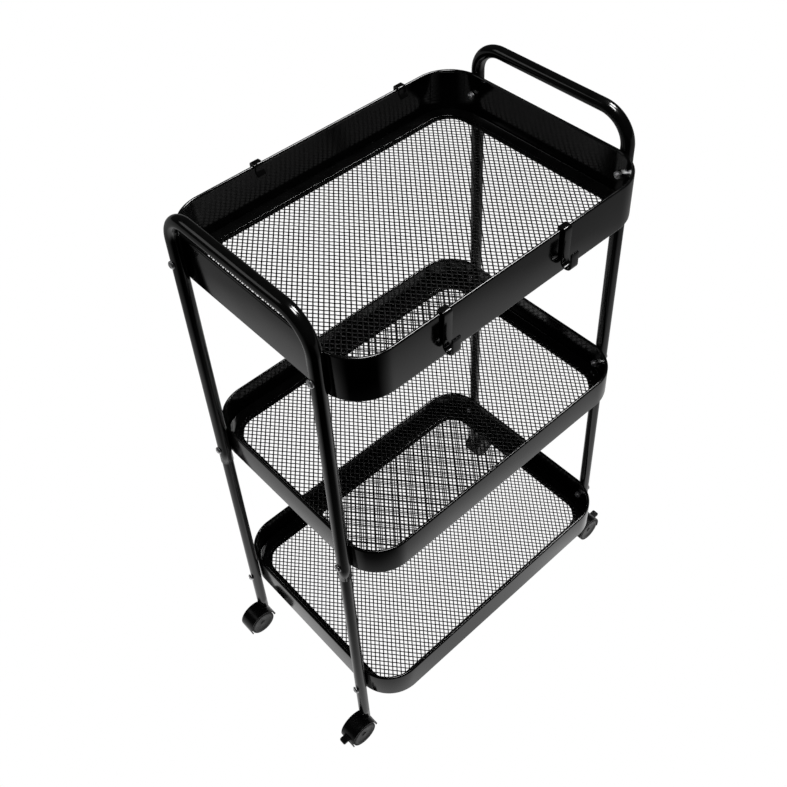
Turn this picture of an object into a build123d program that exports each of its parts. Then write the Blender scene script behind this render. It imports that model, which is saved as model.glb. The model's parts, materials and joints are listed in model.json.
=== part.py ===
from build123d import *
import os

# Rolling utility cart, millimetres. +X is the length, +Y the depth, +Z up.
# The origin is on the floor, in the middle of the cart.

# ---- driving dimensions -------------------------------------------------------------------
RIM_LENGTH = 430.0            # outside of every basket, along X
RIM_DEPTH = 315.0             # outside of every basket, along Y
CORNER_RADIUS = 50.0          # outside corner of a basket, seen from above
TOP_RIM_Z = 759.0
TIERS = {                     # name: (height of the rim, height of the wall, screw below the rim)
    "top": (TOP_RIM_Z, 60.0, 31.5),
    "middle": (447.0, 42.5, 29.5),
    "bottom": (154.0, 42.5, 28.0),
}
SHEET = 1.0                   # wall steel
BEAD_DIAMETER = 4.0           # rolled rim
LEDGE_WIDTH = 21.5            # inward flange under the floor mesh
BEND_RADIUS = 3.0             # outside bend between wall and flange
MESH_THICKNESS = 1.2
MESH_EDGE_THICKNESS = 0.9     # where the mesh is pressed flat under the strip
MESH_GAP = 3.2                # from the basket's outside to the edge of the floor mesh
STRIP_THICKNESS = 1.0
STRIP_REACH = 17.0            # from the basket's outside to the inner edge of the strip
STRIP_CLEARANCE = 0.3         # between the strip and the full thickness of the mesh

TUBE_DIAMETER = 16.0          # handle frame
TUBE_WALL = 0.8
LOWER_TUBE_DIAMETER = 14.3    # slides into the handle frame's tube
LEG_Y = 115.0                 # legs stand this far from the middle, front and rear
HANDLE_Z = 797.5              # centre line of the handle bar
HANDLE_BEND = 38.0            # centre line radius of the handle's two bends
SEAM_Z = 392.0                # lower end of the handle frame
TUBE_OVERLAP = 45.0           # length of lower leg inside the handle frame
LEG_END_Z = 43.2              # lower end of the lower legs

SCREW_DIAMETER = 5.0
SCREW_HOLE = 5.4
SCREW_HEAD_DIAMETER = 9.5
SCREW_HEAD_HEIGHT = 3.0
SCREW_HEAD_ROUNDING = 2.1
SCREW_END = 2.2               # thread showing past the nut
NUT_FLATS = 8.0
NUT_HEIGHT = 4.0

HOOK_WIDTH = 11.5
HOOK_THICKNESS = 2.4
HOOK_CLEARANCE = 0.3          # between a hook and the rolled rim
HOOK_TOE_FLARE = 4.0          # the toe behind the rim leans inwards by this
HOOK_TOE_BEND = 7.0           # depths below the rim: where the toe starts to lean
HOOK_TOE_END = 12.0           # its tip
HOOK_DEPTH = 47.6             # the bottom of the J
HOOK_LIP_END = 25.0           # the tip of the J's lip
HOOK_SHOULDER = 3.2           # distances out from the rim: the outer end of the bridge
HOOK_HEEL = 1.8               # the foot of the back
HOOK_REACH = 14.2             # the lip
HOOK_RADII = (1.5, 1.5, 2.0, 5.8, 6.0)
FRONT_HOOKS_X = {"left": -99.0, "right": 71.0}
REAR_HOOKS_X = {"left": -85.0, "right": 130.0}

WHEEL_DIAMETER = 38.0
TRAIL = 12.5                  # from the swivel axis back to the axle
TREAD_INNER_Y = 5.8           # each wheel runs from here
TREAD_OUTER_Y = 12.4          # to here, on its side of the rib
TREAD_DEPTH = 2.4             # solid rim under the tread
TREAD_ROUNDING = 1.4
WHEEL_FACE = 2.0              # thickness of the outer face
HUB_RADIUS = 5.0
HUB_CLEARANCE = 0.6           # between a hub and the rib
AXLE_RECESS = 1.8             # from the outer face in to the end of the axle
AXLE_END_CLEARANCE = 0.4
AXLE_DIAMETER = 5.0
STEM_DIAMETER = 8.0
RUNNING_CLEARANCE = 0.05      # radial, shaft in hole
HOOD_THICKNESS = 1.8
HOOD_GAP = 1.0                # between wheel and hood
HOOD_START = -20.0            # degrees about the axle, from straight back to the trailing edge
HOOD_END = 176.0              # and up over the wheels to the leading edge
HOOD_LIP = 2.6                # diameter of the bead along the leading edge
HOOD_EDGE_RADIUS = 0.6
RIB_THICKNESS = 5.0
RIB_BOTTOM_Z = 13.0
RIB_ROOT = 0.6                # how far the rib runs into the hood
SOCKET_COLLAR = 1.2           # plastic plug in the end of a lower leg
SOCKET_DEPTH = 30.0
STEM_BOTTOM_Z = 24.0
STEM_TOP_Z = 69.0
BOSS_DIAMETER = 10.8          # part of the housing that turns on the stem
BOSS_BOTTOM_Z = 27.0
BOSS_TOP_Z = 41.4
CLIP_DIAMETER = 9.4           # ring that keeps the housing on the stem
CLIP_THICKNESS = 1.0
CLIP_MOUTH = 3.0              # opening of the ring
CLIP_CLEARANCE = 0.4          # between the ring and the housing
CLIP_TOP_Z = BOSS_BOTTOM_Z - 0.5
GROOVE_DEPTH = 0.75
BRAKE_CASTERS = ("left_front", "right_front")
BRAKE_PIN_DIAMETER = 3.0
BRAKE_PIN = (23.5, 28.0)      # X and Z of the brake lever's pivot
BRAKE_EYE = 3.2               # half the lever's depth around the pivot
BRAKE_ARM = 8.0               # from the pivot to the end of the fork
BRAKE_ARM_CLEARANCE = 0.35    # between the fork and the rib
BRAKE_FORK_DEPTH = 4.7        # from the pivot to the bottom of the fork's gap
BRAKE_TAB_WIDTH = 10.0
BRAKE_TAB_THICKNESS = 3.0
BRAKE_TAB_Z = 24.0
BRAKE_TAB_END = 43.0          # X of the tab's tip
BRAKE_TAB_ROUNDING = 2.0
BRAKE_SLOT = (15.5, 28.5)     # lowest and highest Z of the hood's slot
BRAKE_SLOT_CLEARANCE = 0.7    # on each side of the tab

# ---- places worked out from them ------------------------------------------------------------
HALF_LENGTH = RIM_LENGTH / 2
HALF_DEPTH = RIM_DEPTH / 2
CORNER_X = HALF_LENGTH - CORNER_RADIUS
CORNER_Y = HALF_DEPTH - CORNER_RADIUS
LEG_X = CORNER_X + ((CORNER_RADIUS + TUBE_DIAMETER / 2) ** 2 - (LEG_Y - CORNER_Y) ** 2) ** 0.5
SCREW_SEAT_X = LEG_X + TUBE_DIAMETER / 2
WHEEL_RADIUS = WHEEL_DIAMETER / 2
SIDES = {"left": -1, "right": 1}
ENDS = {"front": -1, "rear": 1}


def rounded_slab(inset, bottom_z, top_z):
    """A slab with the baskets' outline, drawn in by inset on every side."""
    outline = RectangleRounded(RIM_LENGTH - 2 * inset, RIM_DEPTH - 2 * inset, CORNER_RADIUS - inset)
    return Pos(0, 0, bottom_z) * extrude(outline, amount=top_z - bottom_z)


def rod(diameter, start, end):
    """A round bar between two points."""
    line = Line(start, end)
    return Solid.extrude(Face(Wire(Edge.make_circle(diameter / 2, Plane(start, z_dir=line % 0)))),
                         Vector(*end) - Vector(*start))


# ---- baskets ----------------------------------------------------------------------------------
def wall_section(height):
    """Rolled rim, wall and inward flange, drawn with the corner's centre at the origin."""
    outside = CORNER_RADIUS
    sheet = Polygon(
        (outside, height - BEAD_DIAMETER / 2),
        (outside, 0),
        (outside - LEDGE_WIDTH, 0),
        (outside - LEDGE_WIDTH, SHEET),
        (outside - SHEET, SHEET),
        (outside - SHEET, height - BEAD_DIAMETER / 2),
        align=None,
    )
    sheet = fillet(sheet.vertices().sort_by_distance((outside, 0))[0], BEND_RADIUS)
    inner_corner = sheet.vertices().sort_by_distance((outside - SHEET, SHEET))[0]
    sheet = fillet(inner_corner, BEND_RADIUS - SHEET)
    bead = Pos(outside - BEAD_DIAMETER / 2, height - BEAD_DIAMETER / 2) * Circle(BEAD_DIAMETER / 2)
    return Plane.XZ * (sheet + bead)


def basket_wall(rim_z, height, screw_drop):
    """One closed band: four straight sides and four round corners of the same section."""
    section = wall_section(height)
    corner = revolve(section, Axis.Z, 90)
    end_side = extrude(section, amount=2 * CORNER_Y, dir=(0, 1, 0))
    long_side = extrude(section, amount=2 * CORNER_X, dir=(0, 1, 0))
    corners = {0: (CORNER_X, CORNER_Y), 90: (-CORNER_X, CORNER_Y),
               180: (-CORNER_X, -CORNER_Y), 270: (CORNER_X, -CORNER_Y)}
    pieces = [Pos(x, y, 0) * Rot(0, 0, turn) * corner for turn, (x, y) in corners.items()]
    pieces += [Pos(CORNER_X, -CORNER_Y, 0) * end_side,
               Pos(-CORNER_X, CORNER_Y, 0) * Rot(0, 0, 180) * end_side,
               Pos(CORNER_X, CORNER_Y, 0) * Rot(0, 0, 90) * long_side,
               Pos(-CORNER_X, -CORNER_Y, 0) * Rot(0, 0, 270) * long_side]
    band = Part() + pieces
    holes = [Pos(0, y, height - screw_drop) * Rot(0, 90, 0) * Cylinder(SCREW_HOLE / 2, 2 * RIM_LENGTH)
             for y in (-LEG_Y, LEG_Y)]
    return Pos(0, 0, rim_z - height) * (band - holes)


def mesh_floor(base_z):
    """The floor mesh as a thin plate on the wall's flange, thinner where the strip clamps it."""
    bottom = base_z + SHEET
    border = rounded_slab(MESH_GAP, bottom, bottom + MESH_EDGE_THICKNESS)
    return border + rounded_slab(STRIP_REACH + STRIP_CLEARANCE, bottom, bottom + MESH_THICKNESS)


def retaining_strip(base_z):
    """A flat ring that clamps the edge of the mesh down on the flange."""
    bottom = base_z + SHEET + MESH_EDGE_THICKNESS
    top = bottom + STRIP_THICKNESS
    return rounded_slab(MESH_GAP, bottom, top) - rounded_slab(STRIP_REACH, bottom, top)


# ---- frame ------------------------------------------------------------------------------------
def leg_screw_holes(x, y):
    """The three holes through one leg, one for each basket."""
    return [Pos(x, y, rim_z - drop) * Rot(0, 90, 0) * Cylinder(SCREW_HOLE / 2, 2 * TUBE_DIAMETER)
            for rim_z, _, drop in TIERS.values()]


def handle_frame(side):
    """An upside-down U of tube, whose bar is the handle."""
    x = side * LEG_X
    path = FilletPolyline((x, -LEG_Y, SEAM_Z), (x, -LEG_Y, HANDLE_Z), (x, LEG_Y, HANDLE_Z),
                          (x, LEG_Y, SEAM_Z), radius=HANDLE_BEND)
    start = Plane((x, -LEG_Y, SEAM_Z), z_dir=(0, 0, 1))
    outside = sweep(start * Circle(TUBE_DIAMETER / 2), path=path)
    inside = sweep(start * Circle(TUBE_DIAMETER / 2 - TUBE_WALL), path=path)
    return outside - inside - leg_screw_holes(x, -LEG_Y) - leg_screw_holes(x, LEG_Y)


def lower_leg(x, y):
    """A thinner tube that carries a caster and slides up into the handle frame."""
    top = SEAM_Z + TUBE_OVERLAP
    outside = rod(LOWER_TUBE_DIAMETER, (x, y, LEG_END_Z), (x, y, top))
    inside = rod(LOWER_TUBE_DIAMETER - 2 * TUBE_WALL, (x, y, LEG_END_Z), (x, y, top))
    return outside - inside - leg_screw_holes(x, y)


def stem_socket(x, y):
    """A plastic plug with a collar, pressed into the end of a lower leg."""
    bore = STEM_DIAMETER
    collar_z = LEG_END_Z - SOCKET_COLLAR
    plug = rod(LOWER_TUBE_DIAMETER - 2 * TUBE_WALL, (x, y, LEG_END_Z), (x, y, LEG_END_Z + SOCKET_DEPTH))
    collar = rod(LOWER_TUBE_DIAMETER, (x, y, collar_z), (x, y, LEG_END_Z))
    return plug + collar - rod(bore, (x, y, collar_z), (x, y, LEG_END_Z + SOCKET_DEPTH))


# ---- screws and nuts --------------------------------------------------------------------------
def screw_places():
    """Where every screw crosses a leg: its side, its Y and its height."""
    return [(side, end * LEG_Y, rim_z - drop)
            for side in SIDES.values() for end in ENDS.values() for rim_z, _, drop in TIERS.values()]


def wall_setback(y):
    """How far the short wall's outside has curved in from its straight part at this Y."""
    past_straight = max(0.0, abs(y) - CORNER_Y)
    return CORNER_RADIUS - (CORNER_RADIUS ** 2 - past_straight ** 2) ** 0.5


NUT_SEAT_X = HALF_LENGTH - SHEET - wall_setback(LEG_Y + NUT_FLATS / 3 ** 0.5)


def screw():
    """A pan head screw along +X, with the underside of its head at the origin."""
    length = SCREW_SEAT_X - NUT_SEAT_X + NUT_HEIGHT + SCREW_END
    shank = Pos(length / 2, 0, 0) * Rot(0, 90, 0) * Cylinder(SCREW_DIAMETER / 2, length)
    head = Pos(-SCREW_HEAD_HEIGHT / 2, 0, 0) * Rot(0, 90, 0) * Cylinder(
        SCREW_HEAD_DIAMETER / 2, SCREW_HEAD_HEIGHT)
    rim = head.edges().filter_by(GeomType.CIRCLE).sort_by(Axis.X)[0]
    return shank + fillet(rim, SCREW_HEAD_ROUNDING)


def nut():
    """A hexagon nut along +X, with the face that meets the wall at the origin."""
    blank = extrude(RegularPolygon(NUT_FLATS / 2, 6, major_radius=False), amount=NUT_HEIGHT)
    return Rot(0, 90, 0) * (blank - Cylinder(SCREW_DIAMETER / 2, 3 * NUT_HEIGHT))


def fasteners(make, distance_from_middle):
    """One of a kind at every screw place, pointing at the middle of the cart."""
    placed = []
    for side, y, z in screw_places():
        turn = 0 if side < 0 else 180
        placed.append(Pos(side * distance_from_middle, y, z) * Rot(0, 0, turn) * make())
    return Compound(children=placed)


# ---- hooks ------------------------------------------------------------------------------------
def hook():
    """A clip over the rim that ends in a J outside; the rim's outside top edge is the origin."""
    half = HOOK_THICKNESS / 2
    inner = -(BEAD_DIAMETER + HOOK_CLEARANCE + half)
    top = HOOK_CLEARANCE + half
    centre_line = FilletPolyline(
        (inner - HOOK_TOE_FLARE, -HOOK_TOE_END), (inner, -HOOK_TOE_BEND), (inner, top),
        (HOOK_SHOULDER, top), (HOOK_HEEL, -HOOK_DEPTH), (HOOK_REACH, -HOOK_DEPTH),
        (HOOK_REACH, -HOOK_LIP_END), radius=HOOK_RADII, close=False)
    profile = trace(centre_line, line_width=HOOK_THICKNESS)
    return extrude(Plane.YZ * profile, amount=HOOK_WIDTH / 2, both=True)


def placed_hook(end, x):
    """A hook on the front (-1) or rear (+1) rim of the top basket."""
    turn = 0 if end > 0 else 180
    return Pos(x, end * HALF_DEPTH, TOP_RIM_Z) * Rot(0, 0, turn) * hook()


# ---- casters, drawn trailing towards +X from a swivel axis at the origin -----------------------
def across(diameter, x, z, half_width):
    """A round bar along Y."""
    return rod(diameter, (x, -half_width, z), (x, half_width, z))


def hood():
    """A curved cover over the treads of both wheels, with a bead along its leading edge."""
    inner_radius = WHEEL_RADIUS + HOOD_GAP
    middle_radius = inner_radius + HOOD_THICKNESS / 2
    section = Pos(middle_radius, 0, 0) * RectangleRounded(
        HOOD_THICKNESS, 2 * TREAD_OUTER_Y, HOOD_EDGE_RADIUS)
    shell = revolve(section, Axis((0, 0, 0), (0, -1, 0)), HOOD_END - HOOD_START)
    shell = Rot(0, -HOOD_START, 0) * shell
    lip_radius = inner_radius + HOOD_LIP / 2
    lip = Rot(0, -HOOD_END, 0) * Pos(lip_radius, 0, 0) * Rot(90, 0, 0) * Cylinder(
        HOOD_LIP / 2, 2 * TREAD_OUTER_Y)
    return Pos(TRAIL, 0, WHEEL_RADIUS) * (shell + lip)


def rib():
    """The web between the two wheels, which joins the stem boss, the axle and the hood."""
    front, back = TRAIL - WHEEL_RADIUS / 2, TRAIL + WHEEL_RADIUS / 2
    pin_x, pin_z = BRAKE_PIN
    eye_x, eye_z = pin_x + BRAKE_EYE, pin_z - BRAKE_EYE
    outline = Polygon(
        (front, RIB_BOTTOM_Z), (back, RIB_BOTTOM_Z), (back, eye_z), (eye_x, eye_z),
        (eye_x, BOSS_TOP_Z), (-BOSS_DIAMETER / 4, BOSS_TOP_Z), (-BOSS_DIAMETER / 4, BOSS_BOTTOM_Z),
        (front, BOSS_BOTTOM_Z), align=None)
    plate = extrude(Plane.XZ * outline, amount=RIB_THICKNESS / 2, both=True)
    drum = across(2 * (WHEEL_RADIUS + HOOD_GAP + RIB_ROOT), TRAIL, WHEEL_RADIUS, RIB_THICKNESS)
    return plate & drum


def brake_slot():
    """The opening in the hood that the brake lever passes through."""
    low, high = BRAKE_SLOT
    hood_back = TRAIL + WHEEL_RADIUS + HOOD_GAP
    width = BRAKE_TAB_WIDTH + 2 * BRAKE_SLOT_CLEARANCE
    return Pos(hood_back, 0, (low + high) / 2) * Box(WHEEL_RADIUS / 2, width, high - low)


def caster_housing(has_brake):
    """Hood, rib and stem boss, moulded in one piece."""
    boss = rod(BOSS_DIAMETER, (0, 0, BOSS_BOTTOM_Z), (0, 0, BOSS_TOP_Z))
    body = hood() + rib() + boss
    body -= rod(STEM_DIAMETER + 2 * RUNNING_CLEARANCE, (0, 0, STEM_BOTTOM_Z), (0, 0, LEG_END_Z))
    body -= rod(CLIP_DIAMETER + 2 * CLIP_CLEARANCE, (0, 0, 0), (0, 0, BOSS_BOTTOM_Z))
    body -= across(AXLE_DIAMETER, TRAIL, WHEEL_RADIUS, RIB_THICKNESS)
    if has_brake:
        body -= brake_slot()
        body -= across(BRAKE_PIN_DIAMETER, *BRAKE_PIN, RIB_THICKNESS)
    return body


def wheel(end):
    """A dished wheel on one side of the rib, open towards the rib."""
    rim_inner = WHEEL_RADIUS - TREAD_DEPTH
    face_inner = TREAD_OUTER_Y - WHEEL_FACE
    bore_end = TREAD_OUTER_Y - AXLE_RECESS + AXLE_END_CLEARANCE
    hub_start = RIB_THICKNESS / 2 + HUB_CLEARANCE
    bore = AXLE_DIAMETER / 2 + RUNNING_CLEARANCE
    profile = Polygon(
        (rim_inner, TREAD_INNER_Y), (WHEEL_RADIUS, TREAD_INNER_Y), (WHEEL_RADIUS, TREAD_OUTER_Y),
        (0, TREAD_OUTER_Y), (0, bore_end), (bore, bore_end), (bore, hub_start),
        (HUB_RADIUS, hub_start), (HUB_RADIUS, face_inner), (rim_inner, face_inner), align=None)
    profile = fillet(profile.vertices().group_by(Axis.X)[-1], TREAD_ROUNDING)
    turned = revolve(profile, Axis.Y, 360)
    turned = turned if end > 0 else Rot(0, 0, 180) * turned
    return Pos(TRAIL, 0, WHEEL_RADIUS) * turned


def axle():
    """The pin that both wheels turn on, fixed in the rib."""
    return across(AXLE_DIAMETER, TRAIL, WHEEL_RADIUS, TREAD_OUTER_Y - AXLE_RECESS)


def clip_ring(outside_diameter):
    """A ring around the bottom of the stem's groove, as high as the clip."""
    bottom = (0, 0, CLIP_TOP_Z - CLIP_THICKNESS)
    top = (0, 0, CLIP_TOP_Z)
    return rod(outside_diameter, bottom, top) - rod(STEM_DIAMETER - 2 * GROOVE_DEPTH, bottom, top)


def stem():
    """The swivel pin, fixed in the leg's socket."""
    return rod(STEM_DIAMETER, (0, 0, STEM_BOTTOM_Z), (0, 0, STEM_TOP_Z)) - clip_ring(STEM_DIAMETER)


def stem_clip():
    """The open ring in the stem's groove that keeps the housing on."""
    mouth = Box(CLIP_DIAMETER, CLIP_MOUTH, 4 * CLIP_THICKNESS)
    return clip_ring(CLIP_DIAMETER) - Pos(-CLIP_DIAMETER / 2, 0, CLIP_TOP_Z) * mouth


def brake_pin():
    """The pivot of the brake lever, fixed in the rib."""
    return across(BRAKE_PIN_DIAMETER, *BRAKE_PIN, BRAKE_TAB_WIDTH / 2)


def brake_lever():
    """A foot tab on a fork that straddles the rib."""
    pin_x, pin_z = BRAKE_PIN
    tab_half = BRAKE_TAB_THICKNESS / 2
    fork_end = pin_x + BRAKE_ARM
    arm = Polygon((pin_x - BRAKE_EYE, pin_z - BRAKE_EYE), (fork_end, BRAKE_TAB_Z - tab_half),
                  (fork_end, BRAKE_TAB_Z + tab_half), (pin_x + BRAKE_EYE, pin_z + BRAKE_EYE),
                  (pin_x - BRAKE_EYE, pin_z + BRAKE_EYE), align=None)
    fork = extrude(Plane.XZ * arm, amount=BRAKE_TAB_WIDTH / 2, both=True)
    gap = RIB_THICKNESS + 2 * BRAKE_ARM_CLEARANCE
    fork -= Pos(pin_x, 0, pin_z) * Box(2 * BRAKE_FORK_DEPTH, gap, WHEEL_DIAMETER)
    tab_start = pin_x + BRAKE_FORK_DEPTH
    tab_length = BRAKE_TAB_END - tab_start
    tab = Pos(tab_start + tab_length / 2, 0, BRAKE_TAB_Z) * Box(
        tab_length, BRAKE_TAB_WIDTH, BRAKE_TAB_THICKNESS)
    tab = fillet(tab.edges().filter_by(Axis.Z).group_by(Axis.X)[-1], BRAKE_TAB_ROUNDING)
    bore = BRAKE_PIN_DIAMETER + 2 * RUNNING_CLEARANCE
    return fork + tab - across(bore, pin_x, pin_z, BRAKE_TAB_WIDTH)


# ---- the whole cart ---------------------------------------------------------------------------
def placed_caster(shape, side, y):
    """A caster piece under the leg at this side and Y, trailing away from the cart."""
    turn = 0 if side > 0 else 180
    return Pos(side * LEG_X, y, 0) * Rot(0, 0, turn) * shape


def build_nodes():
    nodes = {}
    for tier, (rim_z, height, drop) in TIERS.items():
        nodes[f"{tier}_basket_wall"] = basket_wall(rim_z, height, drop)
        nodes[f"{tier}_mesh_floor"] = mesh_floor(rim_z - height)
        nodes[f"{tier}_retaining_strip"] = retaining_strip(rim_z - height)
    nodes["frame_screws"] = fasteners(screw, SCREW_SEAT_X)
    nodes["frame_nuts"] = fasteners(nut, NUT_SEAT_X)

    for side_name, side in SIDES.items():
        nodes[f"{side_name}_handle_frame"] = handle_frame(side)
        for end_name, end in ENDS.items():
            name = f"{side_name}_{end_name}"
            x, y = side * LEG_X, end * LEG_Y
            nodes[f"{name}_lower_leg"] = lower_leg(x, y)
            nodes[f"{name}_stem_socket"] = stem_socket(x, y)
            has_brake = name in BRAKE_CASTERS
            caster = {
                "caster_stem": stem(),
                "stem_clip": stem_clip(),
                "caster_housing": caster_housing(has_brake),
                "caster_axle": axle(),
                "caster_wheel_front": wheel(-side),
                "caster_wheel_rear": wheel(side),
            }
            if has_brake:
                caster["brake_pin"] = brake_pin()
                caster["brake_lever"] = brake_lever()
            for piece, shape in caster.items():
                nodes[f"{name}_{piece}"] = placed_caster(shape, side, y)

    for end_name, places in (("front", FRONT_HOOKS_X), ("rear", REAR_HOOKS_X)):
        for side_name, x in places.items():
            nodes[f"hook_{end_name}_{side_name}"] = placed_hook(ENDS[end_name], x)
    return nodes


os.makedirs("parts", exist_ok=True)
for node_name, node_shape in build_nodes().items():
    export_step(node_shape, f"parts/{node_name}.step")
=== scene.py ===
import json
import math
import random

import bpy
from mathutils import Matrix, Vector

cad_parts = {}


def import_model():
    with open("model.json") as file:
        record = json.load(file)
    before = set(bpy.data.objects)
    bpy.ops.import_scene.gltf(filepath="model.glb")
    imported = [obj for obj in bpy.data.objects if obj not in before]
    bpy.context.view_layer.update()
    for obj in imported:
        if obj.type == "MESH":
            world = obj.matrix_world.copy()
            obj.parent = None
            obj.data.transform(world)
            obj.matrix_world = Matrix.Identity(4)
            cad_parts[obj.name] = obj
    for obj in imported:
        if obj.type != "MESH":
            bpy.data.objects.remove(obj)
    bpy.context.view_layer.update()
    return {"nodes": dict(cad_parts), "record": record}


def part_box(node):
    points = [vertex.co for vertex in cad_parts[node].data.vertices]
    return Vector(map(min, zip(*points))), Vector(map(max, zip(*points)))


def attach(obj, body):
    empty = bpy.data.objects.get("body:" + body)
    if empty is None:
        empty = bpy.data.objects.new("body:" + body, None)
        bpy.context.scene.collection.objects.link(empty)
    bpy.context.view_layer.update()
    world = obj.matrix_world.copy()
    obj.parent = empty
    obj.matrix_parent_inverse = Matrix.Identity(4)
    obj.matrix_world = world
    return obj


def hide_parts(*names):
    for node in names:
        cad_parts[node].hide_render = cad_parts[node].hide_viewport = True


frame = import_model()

# ---- sizes of the cart, in metres ---------------------------------------------------------------
TIERS = ("top", "middle", "bottom")
SIDES = {"left": -1, "right": 1}
ENDS = {"front": -1, "rear": 1}
HALF_X, HALF_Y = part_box("top_basket_wall")[1].xy

# a basket's wall, its flange and the strip over the mesh's edge
CORNER_RADIUS = 0.050
CORNER_STEPS = 28
SIDE_STEPS = 14
SIDE_END_SHARE = 0.01              # keeps a side's first and last stations off the corners' own
SHEET = 0.001
BEND_RADIUS = 0.003
BEAD_RADIUS = 0.002
BEAD_GAP = 0.0004                  # between the rolled edge and the wall below it
LEDGE_WIDTH = 0.0215
LEDGE_SOFT = SHEET * 0.3
MESH_GAP = 0.0032                  # from the outside of the wall to the strip
STRIP_REACH = 0.017
STRIP_SOFT = 0.0003

# the woven floors
WIRE_ANGLE = math.radians(50.5)    # of both wire directions, from X
WIRE_PITCH = 0.0056                # between neighbouring wires
WIRE_SIDES = 5
WIRE_HALF_WIDTH = 0.00080
WIRE_HALF_HEIGHT = 0.00036
WIRE_DRIFT = 0.00008               # spread of the wires' sideways places
FIRST_SEED = 11                    # of the top floor's drifts
WEAVE_RISE = 0.00022               # how far a wire goes up and down at its crossings
WEAVE_INSET = 0.011                # from the basket's outline to the wires' ends
PRESSED = 0.7                      # height left to the wires where the strip clamps them
PRESSED_MARGIN = 0.0008            # how far past the strip the wires are still flattened
OUTLINE_STEPS = 4                  # places tried along a wire between two crossings
FEWEST_PLACES = 4                  # a shorter wire is left out

# tubes
TUBE_RADIUS = 0.008
TUBE_WALL = 0.0008
TUBE_CUT_SOFT = TUBE_WALL * 0.25
TUBE_SHOWN_DEPTH = 0.006           # how far the inside of a cut end is modelled
HANDLE_BEND = 0.038

# screws and nuts
SCREW_RADIUS = 0.0025
SCREW_HEAD_RADIUS = 0.00475
SCREW_HEAD_HEIGHT = 0.003
SCREW_DOME_FALL = 0.62             # share of the head's height lost towards its edge
SCREW_DOME_POWER = 4               # how late along the radius the dome falls away
SCREW_DOME_STEPS = 22
THREAD_CHAMFER = 0.0005
CROSS_ARM = 0.0027
CROSS_HALF_WIDTH = 0.00052
CROSS_DEPTH = 0.0014
NUT_HALF_FLATS = 0.004
NUT_HEIGHT = 0.004
NUT_FLAT_RADIUS = NUT_HALF_FLATS * 1.03    # of the flat circle on each side of the nut
NUT_CHAMFER_SLOPE = 0.55
NUT_BORE_EDGE = 0.0030
NUT_BORE_CHAMFER = 0.0004
ON_AXIS = 0.00002                  # a ring this small closes a turned shape

# hooks: the middle of the strip, as (out from the rim, up from the rim)
HOOK_WIDTH = 0.0115
HOOK_THICKNESS = 0.0024
HOOK_EDGE_RADIUS = 0.0008
HOOK_LINE = ((-0.0095, -0.0120), (-0.0055, -0.0070), (-0.0055, 0.0015), (0.0032, 0.0015),
             (0.0018, -0.0476), (0.0142, -0.0476), (0.0142, -0.0250))
HOOK_RADII = (0.0015, 0.0015, 0.0020, 0.0058, 0.0060)
HOOK_END_SHARES = (0.35, 0.8)      # thickness left towards each end
HOOK_END_ROUNDING = 0.0005
HOOK_END_TAPER = 0.0012

# wheels
WHEEL_RADIUS = 0.019
TREAD_WIDTH = 0.0066
TREAD_SOFT = 0.0014
TREAD_LIP = 0.0001
FACE_RADIUS = 0.0172
FACE_STEP = 0.0016                 # depth of the face's edge in the tread
FACE_BACK = 0.0020
FACE_SEAT_RADIUS = 0.0166
HUB_RADIUS = 0.0050
HUB_END = 0.0031                   # from the rib's middle
AXLE_BORE = 0.0027
# the outer side of a wheel's face as (radius, depth): hub cap, dish, raised rim, edge
FACE_OUTLINE = ((ON_AXIS, 0.0003), (0.0026, 0.0003), (0.0034, 0.0006), (0.0037, 0.0012),
                (0.0045, 0.0013), (0.0128, 0.0010), (0.0138, 0.0004), (0.0144, 0.0001),
                (0.0164, 0.0001), (0.0170, 0.0005), (FACE_RADIUS, FACE_STEP))


# ---- mesh helpers ---------------------------------------------------------------------------------
def new_object(name, verts, faces, crease=35.0):
    """A mesh object, smooth apart from edges sharper than crease degrees."""
    mesh = bpy.data.meshes.new(name)
    mesh.from_pydata(verts, [], faces)
    mesh.polygons.foreach_set("use_smooth", [True] * len(mesh.polygons))
    mesh.set_sharp_from_angle(angle=math.radians(crease))
    obj = bpy.data.objects.new(name, mesh)
    bpy.context.scene.collection.objects.link(obj)
    return obj


def grid_faces(rows, columns, closed_rows, closed_columns):
    """Quads between the points of a grid laid out row by row."""
    faces = []
    for i in range(rows if closed_rows else rows - 1):
        for j in range(columns if closed_columns else columns - 1):
            a, b = i * columns, ((i + 1) % rows) * columns
            k = (j + 1) % columns
            faces.append((a + j, a + k, b + k, b + j))
    return faces


def arc(centre, radius, start, end, steps):
    """Points on an arc in a plane, both ends included; angles in degrees."""
    turns = [math.radians(start + (end - start) * i / steps) for i in range(steps + 1)]
    return [(centre[0] + radius * math.cos(t), centre[1] + radius * math.sin(t)) for t in turns]


def rounded_path(points, radii, step_angle):
    """A polyline with its corners rounded by arcs, as points in a plane."""
    path = [Vector(points[0])]
    for i in range(1, len(points) - 1):
        corner = Vector(points[i])
        back = (Vector(points[i - 1]) - corner).normalized()
        ahead = (Vector(points[i + 1]) - corner).normalized()
        half = back.angle(ahead) / 2
        reach = radii[i - 1] / math.tan(half)
        centre = corner + (back + ahead).normalized() * radii[i - 1] / math.sin(half)
        first, last = corner + back * reach - centre, corner + ahead * reach - centre
        steps = max(3, round(math.degrees(math.pi - 2 * half) / step_angle))
        total = first.angle_signed(last)
        for k in range(steps + 1):
            path.append(centre + Matrix.Rotation(-total * k / steps, 2) @ first)
    path.append(Vector(points[-1]))
    return path


def straight_points(start, end, step):
    """Points from start to end, the first included."""
    count = max(1, round((end - start).length / step))
    return [start + (end - start) * i / count for i in range(count)]


def dense_path(path, step):
    """The same path with no two points much further apart than step."""
    dense = []
    for a, b in zip(path, path[1:]):
        dense += straight_points(a, b, step)
    return dense + [path[-1]]


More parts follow.
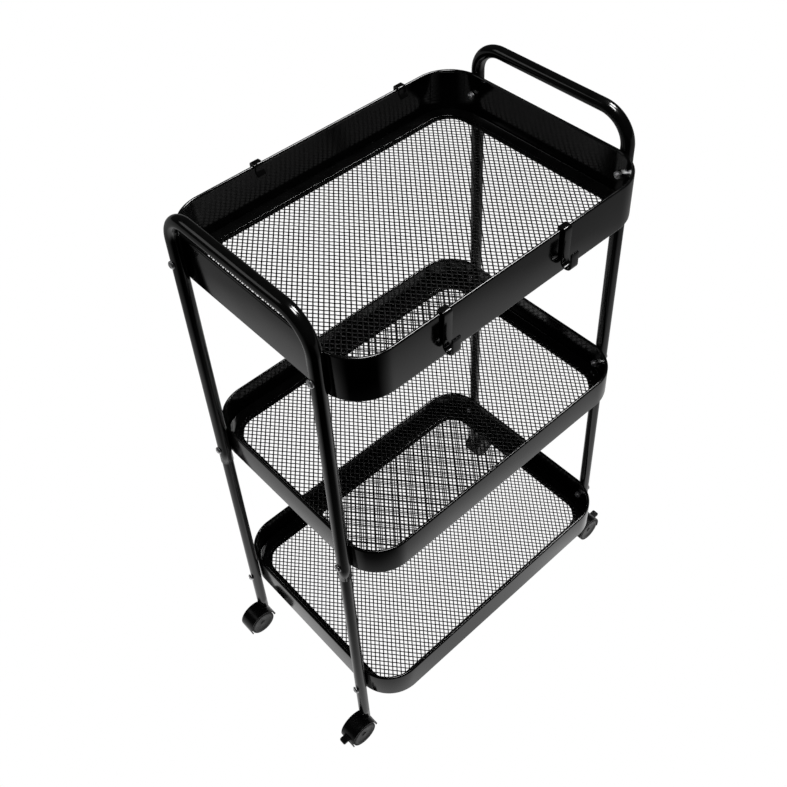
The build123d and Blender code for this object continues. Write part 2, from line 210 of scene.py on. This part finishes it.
def tangents_along(path):
    """The direction of a path at each of its points."""
    last = len(path) - 1
    return [(path[min(i + 1, last)] - path[max(i - 1, 0)]).normalized() for i in range(last + 1)]


def finish_piece(obj, body, nodes, material):
    """Gives a new piece its material, its body, and the CAD nodes it stands for."""
    obj.data.materials.clear()
    obj.data.materials.append(material)
    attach(obj, body)
    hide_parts(*nodes)
    return obj


# ---- materials ------------------------------------------------------------------------------------
class Nodes:
    """Short calls for building one material's node tree."""

    def __init__(self, name):
        self.material = bpy.data.materials.new(name)
        self.material.use_nodes = True
        self.tree = self.material.node_tree
        self.shader = self.tree.nodes["Principled BSDF"]
        self.place = self.tree.nodes.new("ShaderNodeTexCoord").outputs["Object"]

    def set(self, **values):
        for name, value in values.items():
            self.shader.inputs[name.replace("_", " ")].default_value = value

    def noise(self, scale, detail=2.0, roughness=0.5, stretch=None):
        node = self.tree.nodes.new("ShaderNodeTexNoise")
        node.inputs["Scale"].default_value = scale
        node.inputs["Detail"].default_value = detail
        node.inputs["Roughness"].default_value = roughness
        place = self.place
        if stretch:
            mapping = self.tree.nodes.new("ShaderNodeMapping")
            mapping.inputs["Scale"].default_value = stretch
            self.tree.links.new(place, mapping.inputs["Vector"])
            place = mapping.outputs["Vector"]
        self.tree.links.new(place, node.inputs["Vector"])
        return node.outputs["Fac"]

    def ramp(self, value, stops):
        """Colours or greys at places from 0 to 1."""
        node = self.tree.nodes.new("ShaderNodeValToRGB")
        elements = node.color_ramp.elements
        while len(elements) < len(stops):
            elements.new(0.5)
        for element, (place, colour) in zip(elements, stops):
            element.position = place
            grey = not hasattr(colour, "__len__")
            element.color = (colour, colour, colour, 1) if grey else (*colour, 1)
        self.tree.links.new(value, node.inputs["Fac"])
        return node.outputs["Color"]

    def link(self, output, socket):
        self.tree.links.new(output, self.shader.inputs[socket])

    def bump(self, heights):
        """Bumps one on another: (height, distance in metres, strength)."""
        normal = None
        for height, distance, strength in heights:
            node = self.tree.nodes.new("ShaderNodeBump")
            node.inputs["Distance"].default_value = distance
            node.inputs["Strength"].default_value = strength
            self.tree.links.new(height, node.inputs["Height"])
            if normal:
                self.tree.links.new(normal, node.inputs["Normal"])
            normal = node.outputs["Normal"]
        self.link(normal, "Normal")


def black_paint(name, dark, light, gloss, waviness=0.0, shine=0.5):
    """Gloss black enamel on steel: a faint orange peel, and on sheet also slow waves."""
    n = Nodes(name)
    n.set(IOR=1.5, Specular_IOR_Level=shine)
    mottle = n.noise(60.0, detail=4.0, roughness=0.6)
    n.link(n.ramp(mottle, [(0.3, dark), (0.7, light)]), "Base Color")
    handled = n.noise(35.0, detail=5.0, roughness=0.65)
    n.link(n.ramp(handled, [(0.3, gloss), (0.75, gloss + 0.07)]), "Roughness")
    bumps = [(n.noise(700.0), 0.00002, 0.25)]
    if waviness:
        bumps.append((n.noise(14.0, detail=1.0), waviness, 1.0))
    n.bump(bumps)
    return n.material


def zinc(name):
    """Bright zinc plate with fine turning marks."""
    n = Nodes(name)
    n.set(Metallic=1.0)
    dull, bright = (0.80, 0.80, 0.81), (0.95, 0.95, 0.96)
    n.link(n.ramp(n.noise(300.0, detail=3.0), [(0.3, dull), (0.7, bright)]), "Base Color")
    n.link(n.ramp(n.noise(500.0, detail=4.0), [(0.3, 0.24), (0.7, 0.42)]), "Roughness")
    n.bump([(n.noise(2500.0, stretch=(4.0, 1.0, 1.0)), 0.00002, 0.4)])
    return n.material


def moulded(name, dark, light, low, high, shine=0.5):
    """Black moulded plastic or rubber with a fine grain; its roughness runs from low to high."""
    n = Nodes(name)
    n.set(IOR=1.48, Specular_IOR_Level=shine)
    n.link(n.ramp(n.noise(80.0, detail=4.0), [(0.3, dark), (0.7, light)]), "Base Color")
    scuffs = n.noise(120.0, detail=5.0, roughness=0.6)
    n.link(n.ramp(scuffs, [(0.3, low), (0.7, high)]), "Roughness")
    n.bump([(n.noise(900.0, detail=3.0), 0.00004, 0.4)])
    return n.material


MATERIALS = {
    "basket": black_paint("basket_enamel", 0.0006, 0.0016, 0.09, waviness=0.0004),
    "mesh": black_paint("mesh_enamel", 0.001, 0.002, 0.30, shine=0.12),
    "tube": black_paint("tube_enamel", 0.0008, 0.002, 0.10),
    "hook": black_paint("hook_enamel", 0.0008, 0.002, 0.12),
    "fastener": zinc("zinc_plate"),
    "wheel": moulded("wheel_plastic", 0.012, 0.022, 0.34, 0.48, shine=0.35),
    # the tread's base colour is about half the wheel face's: painted shade on the wheel's running ring
    "tread": moulded("tread_painted_shade", 0.006, 0.012, 0.45, 0.60, shine=0.35),
    "caster": moulded("caster_plastic", 0.002, 0.004, 0.20, 0.32, shine=0.25),
    "socket": moulded("socket_plastic", 0.010, 0.018, 0.35, 0.50),
    "pin": zinc("pin_zinc"),
}


# ---- baskets --------------------------------------------------------------------------------------
def basket_stations():
    """Places around a basket, anticlockwise: a corner's centre and a direction out of it."""
    cx, cy = HALF_X - CORNER_RADIUS, HALF_Y - CORNER_RADIUS
    centres = [(cx, cy), (-cx, cy), (-cx, -cy), (cx, -cy)]
    shares = [i / SIDE_STEPS for i in range(1, SIDE_STEPS)]
    shares = [SIDE_END_SHARE, *shares, 1 - SIDE_END_SHARE]
    stations = []
    for k, centre in enumerate(centres):
        for i in range(CORNER_STEPS + 1):
            turn = math.radians(90.0 * (k + i / CORNER_STEPS))
            stations.append((Vector(centre), Vector((math.cos(turn), math.sin(turn)))))
        outward = stations[-1][1]
        span = Vector(centres[(k + 1) % 4]) - Vector(centre)
        stations += [(Vector(centre) + span * share, outward) for share in shares]
    return stations


def ring(name, profile):
    """A closed section, given as (inset from the basket's outside, height), taken round the basket."""
    stations = basket_stations()
    verts = []
    for centre, outward in stations:
        for inset, z in profile:
            p = centre + outward * (CORNER_RADIUS - inset)
            verts.append((p.x, p.y, z))
    return new_object(name, verts, grid_faces(len(stations), len(profile), True, True))


def wall(tier):
    """The steel band of one basket, with its rolled rim and its flange."""
    low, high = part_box(f"{tier}_basket_wall")
    base, rim = low.z, high.z
    bend = (BEND_RADIUS, base + BEND_RADIUS)
    bead = (BEAD_RADIUS, rim - BEAD_RADIUS)
    outer_bend = arc(bend, BEND_RADIUS, 270.0, 180.0, steps=6)
    inner_bend = arc(bend, BEND_RADIUS - SHEET, 180.0, 270.0, steps=5)
    roll = arc(bead, BEAD_RADIUS, 180.0, -120.0, steps=26)
    profile = [(LEDGE_WIDTH, base + LEDGE_SOFT), (LEDGE_WIDTH - LEDGE_SOFT, base), *outer_bend, *roll,
               (SHEET, rim - 2 * BEAD_RADIUS - BEAD_GAP), *inner_bend,
               (LEDGE_WIDTH - LEDGE_SOFT, base + SHEET), (LEDGE_WIDTH, base + SHEET - LEDGE_SOFT)]
    obj = ring(f"{tier}_wall", profile)
    return finish_piece(obj, "cart", [f"{tier}_basket_wall"], MATERIALS["basket"])


def strip(tier):
    """The flat ring that clamps the mesh, with a softened inner edge."""
    low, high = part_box(f"{tier}_retaining_strip")
    bottom, top = low.z, high.z
    inner = arc((STRIP_REACH - STRIP_SOFT, top - STRIP_SOFT), STRIP_SOFT, 90.0, 0.0, steps=3)
    profile = [(MESH_GAP, bottom), (MESH_GAP, top), *inner, (STRIP_REACH, bottom)]
    obj = ring(f"{tier}_strip", profile)
    return finish_piece(obj, "cart", [f"{tier}_retaining_strip"], MATERIALS["basket"])


# ---- woven wire floors ------------------------------------------------------------------------------
def inside_outline(x, y, inset):
    """Whether a point lies inside the basket's outline drawn in by inset."""
    dx = max(abs(x) - (HALF_X - CORNER_RADIUS), 0.0)
    dy = max(abs(y) - (HALF_Y - CORNER_RADIUS), 0.0)
    return math.hypot(dx, dy) <= CORNER_RADIUS - inset


def wire_runs():
    """Every wire of a floor as (family, number, first place, last place, its step, the other's).

    Both wire directions have a step of one crossing, and the places are counted in such steps."""
    step = WIRE_PITCH / math.sin(2 * WIRE_ANGLE)
    reach = round((HALF_X + HALF_Y) / WIRE_PITCH) + 2
    along = Vector((math.cos(WIRE_ANGLE), math.sin(WIRE_ANGLE))) * step
    across = Vector((-math.cos(WIRE_ANGLE), math.sin(WIRE_ANGLE))) * step
    limit = 2 * OUTLINE_STEPS * reach
    places = [k / OUTLINE_STEPS for k in range(-limit, limit + 1)]
    runs = []
    for family, (u, v) in enumerate(((along, across), (across, along))):
        for number in range(-reach, reach + 1):
            held = [a for a in places if inside_outline(*(u * a + v * number), WEAVE_INSET)]
            if len(held) >= FEWEST_PLACES:
                runs.append((family, number, held[0], held[-1], u, v))
    return runs


def woven_floor(tier, seed):
    """Two families of wires, each going over and under the other."""
    low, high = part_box(f"{tier}_mesh_floor")
    middle = (high.z - low.z) / 2
    chance = random.Random(seed)
    turns = [2 * math.pi * k / WIRE_SIDES + math.pi / 2 for k in range(WIRE_SIDES)]
    verts, faces = [], []
    for family, number, first, last, u, v in wire_runs():
        sideways = Vector((-u.y, u.x)).normalized()
        drift = chance.gauss(0.0, WIRE_DRIFT)
        rise = WEAVE_RISE if family == 0 else -WEAVE_RISE
        count = max(2, round((last - first) * 2))
        start = len(verts)
        for i in range(count + 1):
            a = first + (last - first) * i / count
            p = u * a + v * number + sideways * drift
            lift = rise * math.cos(math.pi * (a + number))
            share = 1.0 if inside_outline(p.x, p.y, STRIP_REACH + PRESSED_MARGIN) else PRESSED
            for turn in turns:
                q = p + sideways * WIRE_HALF_WIDTH * math.cos(turn)
                height = middle + lift + WIRE_HALF_HEIGHT * math.sin(turn)
                verts.append((q.x, q.y, low.z + height * share))
        quads = grid_faces(count + 1, WIRE_SIDES, False, True)
        faces += [tuple(start + n for n in quad) for quad in quads]
    obj = new_object(f"{tier}_mesh", verts, faces, crease=80.0)
    return finish_piece(obj, "cart", [f"{tier}_mesh_floor"], MATERIALS["mesh"])


# ---- tubes ------------------------------------------------------------------------------------------
def cut_end(place, into, way, outer):
    """The rings of a tube's cut end as (middle, direction, radius), from the bore to the outer side."""
    inner, soft = outer - TUBE_WALL, TUBE_CUT_SOFT
    return [(place + into * TUBE_SHOWN_DEPTH, way, inner), (place, way, inner + soft),
            (place, way, outer - soft), (place + into * soft, way, outer)]


def tube(name, path, outer, sides=40):
    """A hollow tube along points in a plane of constant X, with its cut ends showing."""
    ways = tangents_along(path)
    rings = cut_end(path[0], ways[0], ways[0], outer)
    rings += [(p, way, outer) for p, way in zip(path[1:-1], ways[1:-1])]
    rings += reversed(cut_end(path[-1], -ways[-1], ways[-1], outer))
    side = Vector((1, 0, 0))
    verts = []
    for p, way, radius in rings:
        up = way.cross(side)
        for k in range(sides):
            turn = 2 * math.pi * k / sides
            verts.append(p + (side * math.cos(turn) + up * math.sin(turn)) * radius)
    return new_object(name, verts, grid_faces(len(rings), sides, False, True), crease=50.0)


def handle_frame(side_name):
    """One upside-down U of tube."""
    node = f"{side_name}_handle_frame"
    low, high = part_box(node)
    bottom, bar_z = low.z, high.z - TUBE_RADIUS
    x, leg_y = (low.x + high.x) / 2, high.y - TUBE_RADIUS
    flat = rounded_path([(-leg_y, bottom), (-leg_y, bar_z), (leg_y, bar_z), (leg_y, bottom)],
                        [HANDLE_BEND, HANDLE_BEND], step_angle=3.5)
    path = dense_path([Vector((x, y, z)) for y, z in flat], step=0.02)
    obj = tube(f"{side_name}_handle", path, TUBE_RADIUS)
    return finish_piece(obj, "cart", [node], MATERIALS["tube"])


def lower_leg(leg_name):
    """The thinner tube below a handle frame's leg."""
    node = f"{leg_name}_lower_leg"
    low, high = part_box(node)
    x, y = (low.x + high.x) / 2, (low.y + high.y) / 2
    path = dense_path([Vector((x, y, low.z)), Vector((x, y, high.z))], step=0.02)
    obj = tube(f"{leg_name}_leg", path, (high.x - low.x) / 2)
    return finish_piece(obj, "cart", [node], MATERIALS["tube"])


# ---- screws and nuts ------------------------------------------------------------------------------
def cad_points(node):
    """Every vertex of a CAD node, in the shared frame."""
    obj = frame["nodes"][node]
    return [obj.matrix_world @ v.co for v in obj.data.vertices]


def screw_height(tier):
    """The height of one basket's screws."""
    low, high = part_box(f"{tier}_basket_wall")
    held = [p.z for p in cad_points("frame_screws") if low.z < p.z < high.z]
    return (min(held) + max(held)) / 2


def screw_axes():
    """For every screw: the side of the cart it is on, its Y and its Z."""
    leg_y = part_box("frame_screws")[1].y - SCREW_HEAD_RADIUS
    axes = []
    for tier in TIERS:
        z = screw_height(tier)
        axes += [(side, end * leg_y, z) for side in SIDES.values() for end in ENDS.values()]
    return axes


def at(value, turn):
    """A number as it is, or what a function gives at this angle."""
    return value(turn) if callable(value) else value


def turned_grid(rings, sides):
    """Points of rings round X given as (X, radius), each a number or a function of the angle."""
    turns = [2 * math.pi * k / sides for k in range(sides)]
    return [(at(x, turn), at(radius, turn) * math.cos(turn), at(radius, turn) * math.sin(turn))
            for x, radius in rings for turn in turns]


def in_cross(y, z):
    """Whether a point of a screw's face is inside its cross recess."""
    return max(abs(y), abs(z)) < CROSS_ARM and min(abs(y), abs(z)) < CROSS_HALF_WIDTH


def screw_shape():
    """A pan head with a cross recess, seat at X 0, head towards -X; points and faces."""
    sides = 64
    rings = []
    for i in range(SCREW_DOME_STEPS + 1):
        share = i / SCREW_DOME_STEPS
        x = -SCREW_HEAD_HEIGHT * (1 - SCREW_DOME_FALL * share ** SCREW_DOME_POWER)
        rings.append((x, max(SCREW_HEAD_RADIUS * share, ON_AXIS)))
    dome = turned_grid(rings, sides)
    sunk = [(x + CROSS_DEPTH, y, z) if in_cross(y, z) else (x, y, z) for x, y, z in dome]
    seat = turned_grid([(0.0, SCREW_HEAD_RADIUS), (0.0, SCREW_RADIUS)], sides)
    return sunk + seat, grid_faces(len(rings) + 2, sides, False, True)


def hex_radius(turn):
    """The distance from a nut's axis to its side in this direction."""
    folded = (turn + math.pi / 6) % (math.pi / 3) - math.pi / 6
    return NUT_HALF_FLATS / math.cos(folded)


def crown(turn):
    """How far a nut's chamfer has come down where it meets the side in this direction."""
    return max(0.0, hex_radius(turn) - NUT_FLAT_RADIUS) * NUT_CHAMFER_SLOPE


def flat_radius(turn):
    """The outer radius of a nut's flat face in this direction."""
    return min(NUT_FLAT_RADIUS, hex_radius(turn))


def nut_shape(thread_end):
    """A chamfered hexagon nut from X 0 to NUT_HEIGHT, with the screw's end in its bore."""
    sides = 72
    rings = [(0.0, SCREW_RADIUS), (0.0, flat_radius), (crown, hex_radius),
             (lambda turn: NUT_HEIGHT - crown(turn), hex_radius), (NUT_HEIGHT, flat_radius),
             (NUT_HEIGHT, NUT_BORE_EDGE), (NUT_HEIGHT - NUT_BORE_CHAMFER, SCREW_RADIUS),
             (thread_end - THREAD_CHAMFER, SCREW_RADIUS), (thread_end, SCREW_RADIUS - THREAD_CHAMFER),
             (thread_end, ON_AXIS)]
    return turned_grid(rings, sides), grid_faces(len(rings), sides, False, True)


def fastener_piece(name, shape, node, seat):
    """One piece made of the same shape at all twelve places, seat away from the cart's middle."""
    verts, faces = [], []
    points, quads = shape
    for side, y, z in screw_axes():
        start = len(verts)
        verts += [(side * (seat - px), y - side * py, z + pz) for px, py, pz in points]
        faces += [tuple(start + n for n in quad) for quad in quads]
    obj = new_object(name, verts, faces, crease=28.0)
    return finish_piece(obj, "cart", [node], MATERIALS["fastener"])


def fasteners():
    """All twelve screw heads outside the legs and all twelve nuts inside the baskets."""
    screw_x = [abs(p.x) for p in cad_points("frame_screws")]
    nut_seat = max(abs(p.x) for p in cad_points("frame_nuts"))
    fastener_piece("screws", screw_shape(), "frame_screws", max(screw_x) - SCREW_HEAD_HEIGHT)
    fastener_piece("nuts", nut_shape(nut_seat - min(screw_x)), "frame_nuts", nut_seat)


# ---- hooks ------------------------------------------------------------------------------------------
def soft_rectangle(width, height, radius, steps=3):
    """Points round a rectangle with rounded corners, centred on the origin."""
    points = []
    for k, (sx, sy) in enumerate(((1, 1), (-1, 1), (-1, -1), (1, -1))):
        centre = (sx * (width / 2 - radius), sy * (height / 2 - radius))
        points += arc(centre, radius, 90.0 * k, 90.0 * (k + 1), steps)
    return points


def hook_stations(last):
    """Sections along a hook as (point's number, share of the thickness, shift along the strip)."""
    tip = [(0, share, 0.0) for share in HOOK_END_SHARES]
    tail = [(last, share, 0.0) for share in reversed(HOOK_END_SHARES)]
    middle = [(i, 1.0, 0.0) for i in range(1, last)]
    return [*tip, (0, 1.0, HOOK_END_ROUNDING), *middle, (last, 1.0, -HOOK_END_ROUNDING), *tail]


def hook(node):
    """One clip-on hook: a strip with rounded edges, bent over the rim and into a J."""
    low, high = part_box(node)
    x = (low.x + high.x) / 2
    outward = 1 if high.y > 0 else -1
    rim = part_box("top_basket_wall")[1]
    line = dense_path(rounded_path(HOOK_LINE, HOOK_RADII, step_angle=8.0), step=0.004)
    ways = tangents_along(line)
    section = soft_rectangle(HOOK_WIDTH, HOOK_THICKNESS, HOOK_EDGE_RADIUS)
    stations = hook_stations(len(line) - 1)
    verts = []
    for i, share, shift in stations:
        normal = Vector((-ways[i].y, ways[i].x))
        for across, thick in section:
            width = across - math.copysign((1 - share) * HOOK_END_TAPER, across)
            p = line[i] + ways[i] * shift + normal * thick * share
            verts.append((x + width, outward * (rim.y + p.x), rim.z + p.y))
    count = len(section)
    faces = grid_faces(len(stations), count, False, True)
    faces += [tuple(range(count)), tuple(len(verts) - 1 - k for k in range(count))]
    obj = new_object(f"{node}_strip", verts, faces, crease=50.0)
    return finish_piece(obj, node, [node], MATERIALS["hook"])


# ---- wheels -----------------------------------------------------------------------------------------
def turned_piece(name, centre, way, profile, sides=72):
    """A profile of (radius, distance out from the rib) turned about an axis along Y."""
    verts = []
    for radius, out in profile:
        for k in range(sides):
            turn = 2 * math.pi * k / sides
            verts.append((centre.x + radius * math.cos(turn), centre.y + way * out,
                          centre.z + radius * math.sin(turn)))
    return new_object(name, verts, grid_faces(len(profile), sides, False, True), crease=32.0)


def tread_profile(outer):
    """The ring that runs on the floor, with soft shoulders."""
    inner, core = outer - TREAD_WIDTH, WHEEL_RADIUS - TREAD_SOFT
    shoulder = arc((core, outer - TREAD_SOFT), TREAD_SOFT, 90.0, 0.0, steps=6)
    inner_edge = arc((core, inner + TREAD_SOFT), TREAD_SOFT, 0.0, -90.0, steps=6)
    return [(FACE_RADIUS, outer - FACE_STEP), (FACE_RADIUS + TREAD_LIP, outer - TREAD_LIP), *shoulder,
            *inner_edge, (FACE_SEAT_RADIUS, inner), (FACE_SEAT_RADIUS, outer - FACE_BACK)]


def face_profile(outer):
    """The dished face, and behind it the hub with the axle's bore."""
    front = [(radius, outer - depth) for radius, depth in FACE_OUTLINE]
    return [*front, (FACE_SEAT_RADIUS, outer - FACE_BACK), (HUB_RADIUS, outer - FACE_BACK),
            (HUB_RADIUS, HUB_END), (AXLE_BORE, HUB_END)]


def wheel(caster, end_name, way):
    """One wheel: a satin tread ring, its colour darkened as painted shade, and, in it, a dished face with
    a raised rim and a hub cap.
    """
    node = f"{caster}_caster_wheel_{end_name}"
    body = f"{caster}_wheel_{end_name}"
    axle_y = axle_middle(caster)
    low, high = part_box(node)
    centre = Vector(((low.x + high.x) / 2, axle_y, (low.z + high.z) / 2))
    outer = (high.y - axle_y) if way > 0 else (axle_y - low.y)
    # the tread ring takes the darker copy of the wheel's material, which is painted shade
    obj = turned_piece(f"{caster}_tread_{end_name}", centre, way, tread_profile(outer))
    finish_piece(obj, body, [node], MATERIALS["tread"])
    obj = turned_piece(f"{caster}_face_{end_name}", centre, way, face_profile(outer))
    finish_piece(obj, body, [node], MATERIALS["wheel"])


def axle_middle(caster):
    """The Y half way along a caster's axle."""
    low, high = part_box(f"{caster}_caster_axle")
    return (low.y + high.y) / 2


# ---- carried-over CAD nodes ---------------------------------------------------------------------------
def dress_cad_nodes():
    """Gives every CAD node that stays its own slot's material."""
    slots = {part["node"]: part["material_slot"] for part in frame["record"]["subparts"]}
    for node, obj in frame["nodes"].items():
        if not obj.hide_render:
            obj.data.materials.clear()
            obj.data.materials.append(MATERIALS[slots[node]])


# ---- stage --------------------------------------------------------------------------------------------
WHITE = (1, 1, 1, 1)
STUDIO_DIM = (0.02, 0.02, 0.02, 1)        # what the surroundings add to reflections
DARK_SIDE = (-0.66, -0.75, 0.0)           # the way to the studio's unlit side
DARK_SIDE_EDGES = [(0.55, 0.0), (0.90, 1.0)]
# the floor's brightness in reflections, as (distance from the cart in metres, level)
POOL_AROUND = [(0.12, 0.12), (0.27, 0.9), (0.45, 0.55), (0.8, 0.40), (1.0, 0.20)]
POOL_DARK_SIDE = [(0.12, 0.12), (0.25, 0.7), (0.38, 0.30), (0.55, 0.04), (0.8, 0.0)]
FLOOR_HALF = 8.0
FLOOR_Z = -0.0005
MIX_COLOUR_A, MIX_COLOUR_B, MIX_COLOUR_RESULT = 6, 7, 2    # a Mix node's sockets for colours


def vector_math(tree, operation, value, constant=None):
    """One vector operation on an output, and on a constant if it takes two."""
    node = tree.nodes.new("ShaderNodeVectorMath")
    node.operation = operation
    tree.links.new(value, node.inputs[0])
    if constant:
        node.inputs[1].default_value = constant
    scalar = operation in ("LENGTH", "DOT_PRODUCT")
    return node.outputs["Value" if scalar else "Vector"]


def colour_mix(tree, share):
    """A node that mixes two colours."""
    node = tree.nodes.new("ShaderNodeMix")
    node.data_type = "RGBA"
    tree.links.new(share, node.inputs[0])
    return node


def emission(tree):
    """A node that shines by itself, white until told otherwise."""
    node = tree.nodes.new("ShaderNodeEmission")
    node.inputs["Color"].default_value = WHITE
    return node


def camera_ray(tree):
    """1 for what the camera sees directly, 0 in reflections."""
    return tree.nodes.new("ShaderNodeLightPath").outputs["Is Camera Ray"]


def floor_material():
    """White to the eye; in reflections a pool of light that ends early on the dark side."""
    n = Nodes("studio_floor")
    tree = n.tree
    distance = vector_math(tree, "LENGTH", n.place)
    facing = vector_math(tree, "DOT_PRODUCT", vector_math(tree, "NORMALIZE", n.place), DARK_SIDE)
    level = colour_mix(tree, n.ramp(facing, DARK_SIDE_EDGES))
    tree.links.new(n.ramp(distance, POOL_AROUND), level.inputs[MIX_COLOUR_A])
    tree.links.new(n.ramp(distance, POOL_DARK_SIDE), level.inputs[MIX_COLOUR_B])
    seen, pool = emission(tree), emission(tree)
    tree.links.new(level.outputs[MIX_COLOUR_RESULT], pool.inputs["Color"])
    mix = tree.nodes.new("ShaderNodeMixShader")
    tree.links.new(camera_ray(tree), mix.inputs["Fac"])
    tree.links.new(pool.outputs["Emission"], mix.inputs[1])
    tree.links.new(seen.outputs["Emission"], mix.inputs[2])
    tree.links.new(mix.outputs["Shader"], tree.nodes["Material Output"].inputs["Surface"])
    return n.material


def floor():
    """A large pale floor, a hair below the wheels."""
    corners = [(-1, -1), (1, -1), (1, 1), (-1, 1)]
    verts = [(x * FLOOR_HALF, y * FLOOR_HALF, FLOOR_Z) for x, y in corners]
    obj = new_object("studio_floor", verts, [(0, 1, 2, 3)])
    obj.data.materials.append(floor_material())


def world():
    """White to the eye, dim in reflections."""
    made = bpy.data.worlds.new("studio")
    bpy.context.scene.world = made
    made.use_nodes = True
    tree = made.node_tree
    mix = colour_mix(tree, camera_ray(tree))
    mix.inputs[MIX_COLOUR_A].default_value = STUDIO_DIM
    mix.inputs[MIX_COLOUR_B].default_value = WHITE
    tree.links.new(mix.outputs[MIX_COLOUR_RESULT], tree.nodes["Background"].inputs["Color"])


def softbox(name, place, target, width, height, power):
    """A rectangular studio light."""
    data = bpy.data.lights.new(name, "AREA")
    data.shape = "RECTANGLE"
    data.size, data.size_y, data.energy = width, height, power
    obj = bpy.data.objects.new(name, data)
    obj.location = place
    obj.rotation_euler = (Vector(target) - Vector(place)).to_track_quat("-Z", "Y").to_euler()
    bpy.context.scene.collection.objects.link(obj)


def softboxes():
    """One light overhead, one over the right end that draws the long rims, one weak at the rear."""
    softbox("overhead", (0.0, -0.2, 2.6), (0, 0, 0.4), 0.6, 0.6, 30.0)
    softbox("right", (1.3, 0.0, 3.0), (0, 0, 0.6), 0.6, 0.9, 60.0)
    softbox("rear_left", (-1.6, 2.0, 2.4), (0, 0, 0.6), 1.0, 1.0, 3.0)


def camera():
    """The photograph's viewpoint: high, over the front left corner."""
    data = bpy.data.cameras.new("camera")
    data.sensor_width = 36.0
    data.lens = 48.191
    data.shift_x = -0.0109
    data.shift_y = -0.1443
    obj = bpy.data.objects.new("camera", data)
    obj.location = (-0.5822, -0.6648, 1.4520)
    obj.rotation_euler = [math.radians(a) for a in (47.060, 2.281, -42.555)]
    bpy.context.scene.collection.objects.link(obj)
    bpy.context.scene.camera = obj


# ---- the cart -------------------------------------------------------------------------------------------
for number, tier_name in enumerate(TIERS):
    wall(tier_name)
    strip(tier_name)
    woven_floor(tier_name, seed=FIRST_SEED + number)
for side_key in SIDES:
    handle_frame(side_key)
    for end_key in ENDS:
        lower_leg(f"{side_key}_{end_key}")
        for wheel_key, wheel_way in ENDS.items():
            wheel(f"{side_key}_{end_key}", wheel_key, wheel_way)
fasteners()
for end_key in ENDS:
    for side_key in SIDES:
        hook(f"hook_{end_key}_{side_key}")
dress_cad_nodes()
camera()
floor()
world()
softboxes()
bpy.context.scene.view_settings.view_transform = "Standard"
